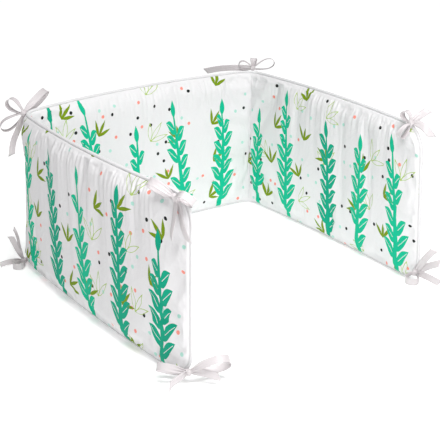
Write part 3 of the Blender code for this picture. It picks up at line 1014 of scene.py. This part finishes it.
def build_tie(name, seat, strips, number):
    """One ribbon tied in a bow, and the length of the ribbon in it."""
    rng = np.random.default_rng(TIE_SEED + number)
    knot = knot_place(*seat)
    points, faces, places = [], [], []
    start, total = 0, 2 * np.pi * KNOT_RADIUS
    for strip in strips:
        rings, travelled = ribbon_strip(knot, *strip, rng)
        count, ring = rings.shape[:2]
        quads = skin_faces(count, ring)[:, ::-1]
        side = np.linspace(0, RIBBON_WIDTH, ring // 2)
        across = np.concatenate([side, side[::-1]])
        flat = np.stack([np.repeat(travelled + total, ring), np.tile(across, count)], axis=-1)
        points.append(rings.reshape(-1, 3))
        faces += (quads + start).tolist()
        places.append(flat[quads].reshape(-1, 2))
        start += count * ring
        total += travelled[-1]
    heading, rise = next(strip[1:3] for strip in strips if strip[0] == "loop")
    axis = ribbon_frame(heading, rise, 0.0)[0]
    points.append(knot_rings(knot, axis, rng).reshape(-1, 3))
    sides, ends = knot_faces()
    round_it = np.arange(KNOT_SIDES) * 2 * np.pi * KNOT_RADIUS / KNOT_SIDES
    along_it = np.arange(KNOT_RINGS) * RIBBON_WIDTH / KNOT_RINGS
    flat = np.stack([np.tile(round_it, KNOT_RINGS), np.repeat(along_it, KNOT_SIDES)], axis=-1)
    places.append(flat[sides].reshape(-1, 2))
    places += [flat[end] for end in ends]
    faces += [[corner + start for corner in side] for side in sides + ends]
    return mesh_object(name + "_bow", np.vstack(points), faces, np.vstack(places)), total


ties = {
    name: build_tie(name, seat, strips, number)
    for number, (name, (seat, *strips)) in enumerate(BOWS.items())
}
for name, (tie, length) in ties.items():
    print(name, "%d faces, %.0f mm of ribbon" % (len(tie.data.polygons), 1000 * length))

# %% [markdown]
# ## Sums in a shader
#
# A printed pattern is a lot of small sums on the cloth's own coordinates. Blender does them with Math
# nodes. The class below lets a sum be written as one, such as `u / 0.17 - 0.5`, and adds the node for each
# step. The helpers after it add one node each, with its inputs filled in.

# %% Sums in a shader
def operation(kind):
    return lambda self, *others: self.math(kind, *others)


class Sum:
    """A number in a node tree. Working with it adds Math nodes."""

    def __init__(self, tree, socket):
        self.tree = tree
        self.socket = socket

    def math(self, kind, *others):
        inputs = dict(enumerate((self, *others)))
        return Sum(self.tree, add_node(self.tree, "Math", inputs, operation=kind).outputs[0])

    __add__, __sub__, __mul__, __truediv__ = map(operation, ("ADD", "SUBTRACT", "MULTIPLY", "DIVIDE"))
    __lt__, __gt__, __abs__ = map(operation, ("LESS_THAN", "GREATER_THAN", "ABSOLUTE"))
    floor, sin, cos = map(operation, ("FLOOR", "SINE", "COSINE"))

    def clipped(self):
        return self.math("MAXIMUM", 0.0).math("MINIMUM", 1.0)


def add_node(tree, kind, inputs, **settings):
    node = tree.nodes.new("ShaderNode" + kind)
    for name, value in settings.items():
        setattr(node, name, value)
    fill(node, inputs)
    return node


def combined(tree, x, y):
    return add_node(tree, "CombineXYZ", {"X": x, "Y": y}).outputs[0]


def split(tree, socket):
    parts = add_node(tree, "SeparateXYZ", {0: socket})
    return Sum(tree, parts.outputs["X"]), Sum(tree, parts.outputs["Y"])


def chance(place, across=0.0):
    """A number from 0 to 1 that is the same all over one cell."""
    cell = {"Vector": combined(place.tree, place, across)}
    noise = add_node(place.tree, "TexWhiteNoise", cell, noise_dimensions="2D")
    return Sum(place.tree, noise.outputs["Value"])


def cloudy(tree, place, **values):
    """Smooth noise over the cloth, around 0.5."""
    noise = add_node(tree, "TexNoise", {"Vector": place, **values})
    return Sum(tree, noise.outputs["Fac"])


def stretched(tree, place, scale):
    return add_node(tree, "VectorMath", {0: place, 1: scale}, operation="MULTIPLY").outputs[0]


def mixed(tree, share, first, second, blend="MIX"):
    """One colour laid over another."""
    inputs = {"Factor": share, 6: first, 7: second}
    return add_node(tree, "Mix", inputs, data_type="RGBA", blend_type=blend).outputs[2]


def new_group(name, inputs, outputs):
    """A shader node group with named sockets, its input and output nodes."""
    tree = bpy.data.node_groups.new(name, "ShaderNodeTree")
    for label, kind, value in inputs:
        socket = tree.interface.new_socket(name=label, in_out="INPUT", socket_type="NodeSocket" + kind)
        if value is not None:
            socket.default_value = value
    for label, kind in outputs:
        tree.interface.new_socket(name=label, in_out="OUTPUT", socket_type="NodeSocket" + kind)
    return tree, tree.nodes.new("NodeGroupInput"), tree.nodes.new("NodeGroupOutput")


print("ready to build materials")

# %% [markdown]
# ## The weave
#
# Plain cotton has one thread over and one thread under. At half a millimetre a thread, it is too fine for
# geometry, so a group gives its height, and each material places it with its own thread width. The group
# also gives a slow unevenness, since no yarn is the same thickness all along.

# %% Weave group
YARN_STRETCH = ((90.0, 1900.0, 1.0), (1900.0, 90.0, 1.0))


def weave_group():
    tree, start, end = new_group(
        "plain_weave",
        (("Place", "Vector", None), ("Thread", "Float", 0.0005), ("Slub", "Float", 0.5)),
        (("Height", "Float"), ("Unevenness", "Float")),
    )
    place = start.outputs["Place"]
    u, v = split(tree, place)
    thread = Sum(tree, start.outputs["Thread"])
    over = (u / thread * math.pi).sin() * (v / thread * math.pi).sin()
    warp, weft = (
        cloudy(tree, stretched(tree, place, scale), Scale=1.0, Detail=2.0) - 0.5 for scale in YARN_STRETCH
    )
    slub = warp + weft
    height = over * 0.5 + slub * Sum(tree, start.outputs["Slub"]) + 0.5
    fill(end, {"Height": height, "Unevenness": slub + 0.5})
    return tree


weave = weave_group()
print(weave.name, [item.name for item in weave.interface.items_tree])

# %% [markdown]
# ## Soft creases
#
# Cotton that has been folded and handled keeps faint creases, a few centimetres long, in every direction.
# They are too low to be worth shaping, so this group draws them from two noises as ridges, and a bump shows
# them.

# %% Crease group
def crease_group():
    tree, start, end = new_group(
        "soft_creases",
        (("Place", "Vector", None), ("Size", "Float", 0.03), ("Stretch", "Float", 1.6)),
        (("Height", "Float"),),
    )
    u, v = split(tree, start.outputs["Place"])
    size = Sum(tree, start.outputs["Size"])
    place = combined(tree, u / size * Sum(tree, start.outputs["Stretch"]), v / size)
    ridges = []
    for scale, share in ((0.55, 0.65), (1.5, 0.35)):
        noise = cloudy(tree, place, Scale=scale, Detail=3.0, Roughness=0.45, Distortion=0.8)
        ridge = abs(noise - 0.5) * -2.0 + 1.0
        ridges.append(ridge.math("POWER", 3.0) * share)
    fill(end, {"Height": ridges[0] + ridges[1]})
    return tree


creases = crease_group()
print(creases.name, [item.name for item in creases.interface.items_tree])

# %% [markdown]
# ## The leafy print
#
# The cotton is printed with tall leafy fronds, small sprigs and scattered dots. An image would need drawing
# by hand, and the grid of the panel is too coarse to colour by vertex. So each motif is a test on the
# cloth's coordinates: the cloth is cut into cells, a random number for each cell moves, leans or leaves out
# its motif, and a point is inked if it lies inside a leaf. A leaf is a sine bulge round a slanting line.

# %% Print motifs
FROND_PITCH = 0.1175
FROND_HEIGHTS = (0.215, 0.095)  # the least, and how much more a tall one has
FROND_LEAN = 0.26
FROND_SHIFT = 0.030
FROND_BEND = 0.9
BEND_MIDDLE = 0.14  # the height from which a frond bends both ways
FIRST_LEAF = 0.010
TIP_LENGTH = 0.040
LEAF_SLOPE = math.radians(47)
LEAF_SPACING = 0.034
LEAF_LENGTH = 0.050
LEAF_HALF_WIDTH = 0.0102
STEM_HALF_WIDTH = 0.0068
RIB_HALF_WIDTH = 0.0005
SPRIG_AIM = 2.2  # radians, over which the sprigs are turned
SPRIG_SECTOR = math.radians(40)
SPRIG_LEAVES = 1.5  # so one leaf in the middle and one on each side
OUTLINE_WIDTH = 0.0011


def leaf_bulge(share, power):
    """Half the width of a leaf along its length, from 0 at both ends to 1."""
    return (share.clipped().math("POWER", power) * math.pi).sin()


def fronds(u, v):
    """Ink of the tall fronds, and a random number for the colour of each."""
    cell = (u / FROND_PITCH).floor()
    tall = chance(cell, 1.0)
    height = tall * FROND_HEIGHTS[1] + FROND_HEIGHTS[0]
    lean = (chance(cell, 2.0) - 0.5) * FROND_LEAN
    shift = (chance(cell, 3.0) - 0.5) * FROND_SHIFT
    rise = v - BEND_MIDDLE
    bend = (chance(cell, 4.0) - 0.5) * FROND_BEND
    x = u - (cell + 0.5) * FROND_PITCH - shift - lean * rise - bend * rise * rise
    grown = (v / height).clipped()
    stem = (abs(x) - (grown * -0.72 + 1.0) * STEM_HALF_WIDTH) < 0.0
    right = x > 0.0
    slanted = v - FIRST_LEAF - right * (LEAF_SPACING / 2) - abs(x) * math.tan(LEAF_SLOPE)
    row = (slanted / LEAF_SPACING).floor()
    own = chance(row + right * 31.0, cell)
    across = (slanted - (row + 0.5) * LEAF_SPACING) * math.cos(LEAF_SLOPE)
    length = (own * 0.35 + 0.75) * (grown * grown * -0.42 + 1.0) * LEAF_LENGTH
    share = abs(x) / math.cos(LEAF_SLOPE) / length
    last = (height / LEAF_SPACING * 0.88).floor()
    inside = (share < 1.0) * (row > -0.5) * ((row - last) < -0.5) * (own > 0.06)
    leaf = ((abs(across) - leaf_bulge(share, 0.8) * LEAF_HALF_WIDTH) < 0.0) * inside
    rib = (abs(across) < RIB_HALF_WIDTH) * (share > 0.22) * (share < 0.86) * inside
    tip = (v - height) / TIP_LENGTH + 0.3
    end = ((abs(x) - leaf_bulge(tip, 0.8) * (LEAF_HALF_WIDTH * 0.6)) < 0.0) * (tip > 0.0)
    ink = (stem * ((v - height) < 0.0)).math("MAXIMUM", leaf - rib)
    return ink.math("MAXIMUM", end * (tip < 1.0)), chance(cell, 5.0)


def sprigs(u, v, pitch_u, pitch_v, shift, length, half_width, share_kept):
    """Ink of small fans of leaves, and the same for a slightly smaller leaf."""
    moved = u + shift
    column = (moved / pitch_u).floor()
    lift = chance(column, shift * 100) * pitch_v
    line = ((v + lift) / pitch_v).floor()
    kept = chance(column + shift * 70, line * 3.0 + 1.0) < share_kept
    x = moved - (column + 0.5) * pitch_u - (chance(column, line + 40.0 + shift) - 0.5) * (pitch_u * 0.35)
    y = v + lift - (line + 0.42) * pitch_v
    away = (x * x + y * y).math("SQRT")
    aim = (chance(column, line + 80.0 + shift) - 0.5) * SPRIG_AIM
    turn = x.math("ARCTAN2", y) + aim
    leaf = (turn / SPRIG_SECTOR).math("ROUND")
    off = turn - leaf * SPRIG_SECTOR
    own = chance(leaf + column * 5.0, line + shift)
    longest = (own * 0.35 + 0.75) * length
    along = away * off.cos()
    across = abs(away * off.sin())
    fan = (abs(leaf) < SPRIG_LEAVES) * kept * (off.cos() > 0.0)
    inks = []
    for trim in (0.0, OUTLINE_WIDTH):
        share = (along - trim * 1.8) / (longest - trim * 3.6)
        half = leaf_bulge(share, 0.85) * half_width - trim
        inks.append(((across - half) < 0.0) * (share > 0.0) * (share < 1.0) * fan)
    return inks


DOT_PITCH = 0.036
DOT_RADIUS = 0.0037
DOT_SCATTER = DOT_PITCH * 0.62
DOTTED_SHARE = 0.55


def dots(u, v):
    """Ink of the scattered dots, and a random number for the colour of each."""
    column = (u / DOT_PITCH).floor()
    line = (v / DOT_PITCH).floor()
    x = u - (column + 0.5) * DOT_PITCH - (chance(column, line) - 0.5) * DOT_SCATTER
    y = v - (line + 0.5) * DOT_PITCH - (chance(column + 0.5, line) - 0.5) * DOT_SCATTER
    ink = ((x * x + y * y).math("SQRT") < DOT_RADIUS) * (chance(column, line + 0.5) < DOTTED_SHARE)
    return ink, chance(column + 0.25, line + 0.25)


print("fronds every %.0f mm, dots every %.0f mm" % (1000 * FROND_PITCH, 1000 * DOT_PITCH))

# %% [markdown]
# The inks are laid one over another, as a printer's screens are. Every ink is a little uneven where the
# threads take it up, so the edge of a leaf isn't razor sharp.

# %% Print group
JADE = (0.004, 0.490, 0.280, 1.0)
DEEP_JADE = (0.003, 0.370, 0.225, 1.0)
OLIVE = (0.190, 0.300, 0.007, 1.0)
LIME = (0.400, 0.560, 0.130, 1.0)
CORAL = (0.900, 0.300, 0.235, 1.0)
MINT = (0.430, 0.735, 0.640, 1.0)
BLACK = (0.018, 0.020, 0.020, 1.0)
# share of the inks: black dots, black and coral dots, fronds in the darker green
BLACK_SHARE, CORAL_SHARE, DEEP_SHARE = 0.34, 0.62, 0.3
# pitch along and up, shift, length of a leaf, half its width, share that is kept
OUTLINED_SPRIGS = (0.118, 0.104, 0.031, 0.048, 0.0054, 0.62)
SOLID_SPRIGS = (0.102, 0.088, 0.087, 0.039, 0.0037, 0.70)


def print_group():
    tree, start, end = new_group(
        "leafy_print",
        (("Place", "Vector", None), ("Cloth", "Color", WHITE), ("Bleed", "Float", 0.0003)),
        (("Colour", "Color"),),
    )
    place = start.outputs["Place"]
    noise = cloudy(tree, place, Scale=900.0, Detail=1.0)
    rough_edge = (noise - 0.5) * Sum(tree, start.outputs["Bleed"]) * 2.0
    u, v = split(tree, place)
    u, v = u + rough_edge, v - rough_edge
    dot, pick = dots(u, v)
    colour = mixed(tree, pick < CORAL_SHARE, MINT, CORAL)
    colour = mixed(tree, pick < BLACK_SHARE, colour, BLACK)
    colour = mixed(tree, dot, start.outputs["Cloth"], colour)
    wide, narrow = sprigs(u, v, *OUTLINED_SPRIGS)
    colour = mixed(tree, wide - narrow, colour, LIME)
    full, _ = sprigs(u, v, *SOLID_SPRIGS)
    colour = mixed(tree, full, colour, OLIVE)
    frond, shade = fronds(u, v)
    colour = mixed(tree, frond, colour, mixed(tree, shade < DEEP_SHARE, JADE, DEEP_JADE))
    fill(end, {"Colour": colour})
    return tree


leafy_print = print_group()
print(leafy_print.name, "has", len(leafy_print.nodes), "nodes")

# %% [markdown]
# ## Cloth materials
#
# The Principled shader stays in each material, and the groups feed it. Cotton is rough all over, with a
# faint sheen from its fuzz. Satin is smoother and shines along its width, because its long floats all run
# one way.

# %% Printed cotton and piping cotton
COTTON = (0.800, 0.790, 0.800, 1.0)
# The piping is the same white cotton as the panel. Its colour is set a little darker as painted shade, which
# tones down the top light on the piping.
PIPING_COTTON_SHADED = (0.770, 0.762, 0.770, 1.0)
THREAD_GREY = (0.600, 0.610, 0.620, 1.0)
PIPING_SHADE = (0.52, 0.53, 0.54, 1.0)
THREAD_SHADE = (0.45, 0.46, 0.47, 1.0)
YARN = {"Thread": 0.00052, "Slub": 0.6}
YARN_RELIEF = 0.00005


def new_material(name):
    paint = bpy.data.materials.new(name)
    paint.use_nodes = True
    tree = paint.node_tree
    flat = add_node(tree, "UVMap", {}, uv_map="cloth")
    return paint, tree, tree.nodes["Principled BSDF"], flat.outputs[0]


def placed(tree, group, flat, **values):
    return add_node(tree, "Group", {"Place": flat, **values}, node_tree=group).outputs


def bump(tree, height, distance, below=None):
    inputs = {"Strength": 1.0, "Distance": distance, "Height": height}
    if below:
        inputs["Normal"] = below
    return add_node(tree, "Bump", inputs).outputs["Normal"]


def uneven(tree, threads, middle, swing):
    return Sum(tree, threads["Unevenness"]) * swing + (middle - swing / 2)


def printed_cotton():
    paint, tree, shader, flat = new_material("printed_cotton")
    threads = placed(tree, weave, flat, **YARN)
    folds = placed(tree, creases, flat, Size=0.030, Stretch=1.5)
    ink = placed(tree, leafy_print, flat, Cloth=COTTON, Bleed=0.0003)
    yarn = Sum(tree, threads["Unevenness"]) * 0.10 + 0.90
    creased = bump(tree, folds["Height"], 0.0007)
    fill(shader, {
        "Base Color": mixed(tree, 0.6, ink["Colour"], yarn, "MULTIPLY"),
        "Roughness": uneven(tree, threads, 0.86, 0.10),
        "Sheen Weight": 0.03,
        "Sheen Roughness": 0.5,
        "Specular IOR Level": 0.18,
        "Normal": bump(tree, threads["Height"], YARN_RELIEF, creased),
    })
    return paint


def piping_cotton():
    paint, tree, shader, flat = new_material("piping_cotton")
    on_the_bias = {"Vector": flat, "Rotation": (0.0, 0.0, math.radians(45))}
    threads = placed(tree, weave, add_node(tree, "Mapping", on_the_bias).outputs[0], **YARN)
    folds = placed(tree, creases, flat, Size=0.007, Stretch=1.0)
    yarn = Sum(tree, threads["Unevenness"]) * 0.16 + 0.84
    creased = bump(tree, folds["Height"], 0.0004)
    fill(shader, {
        "Base Color": mixed(tree, yarn.clipped(), PIPING_SHADE, PIPING_COTTON_SHADED),
        "Roughness": uneven(tree, threads, 0.84, 0.10),
        "Sheen Weight": 0.12,
        "Specular IOR Level": 0.3,
        "Normal": bump(tree, threads["Height"], YARN_RELIEF, creased),
    })
    return paint


def stitch_thread():
    paint, tree, shader, flat = new_material("stitch_thread")
    threads = placed(tree, weave, flat, Thread=0.0003, Slub=0.4)
    share = Sum(tree, threads["Unevenness"]).clipped()
    fill(shader, {
        "Base Color": mixed(tree, share, THREAD_SHADE, THREAD_GREY),
        "Roughness": uneven(tree, threads, 0.6, 0.15),
        "Normal": bump(tree, threads["Height"], 0.00004),
    })
    return paint


materials = {"panel": printed_cotton(), "piping": piping_cotton(), "stitches": stitch_thread()}
print("materials:", [paint.name for paint in materials.values()])

# %% [markdown]
# The ribbon has fine lines along its length from the satin floats, and a narrow woven edge. Its colour is a
# white with a breath of pink, and it is a little glossier than the cotton.

# %% Satin ribbon
SATIN = (0.725, 0.690, 0.700, 1.0)
SATIN_SHADE = (0.590, 0.550, 0.560, 1.0)


def tie_ribbon():
    paint, tree, shader, flat = new_material("tie_ribbon")
    u, v = split(tree, flat)
    edge = abs(v / RIBBON_WIDTH - 0.5) > 0.44
    lines = cloudy(tree, stretched(tree, flat, (60.0, 5200.0, 1.0)), Scale=1.0, Detail=2.0)
    folds = placed(tree, creases, flat, Size=0.012, Stretch=0.6)
    colour = mixed(tree, (lines - 0.2).clipped(), SATIN_SHADE, SATIN)
    creased = bump(tree, folds["Height"], 0.0004)
    fill(shader, {
        "Base Color": mixed(tree, edge * 0.35, colour, SATIN_SHADE),
        "Roughness": lines * 0.16 + edge * 0.20 + 0.30,
        "Sheen Weight": 0.10,
        "Specular IOR Level": 0.45,
        "Anisotropic": 0.4,
        "Normal": bump(tree, lines * 0.5 + edge * 0.5, 0.00006, creased),
    })
    return paint


materials["ties"] = tie_ribbon()
print("materials:", [paint.name for paint in materials.values()])

# %% [markdown]
# ## Put the pieces on the part
#
# Each piece now rides on the part's body and takes its finish, and the solids that the panel, the piping and
# the bows stand for are hidden.

# %% Put the pieces on the part
for piece, finish, node, slot in (
    (panel, "panel", "bumper_pad", "printed_cotton"),
    (piping, "piping", "piping", "piping_cotton"),
):
    piece.data.materials.append(materials[finish])
    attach(piece, "root")
    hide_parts(node)

stitches.data.materials.append(materials["stitches"])
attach(stitches, "root")

for name, (tie, length) in ties.items():
    tie.data.materials.append(materials["ties"])
    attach(tie, "root")
    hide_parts(name)
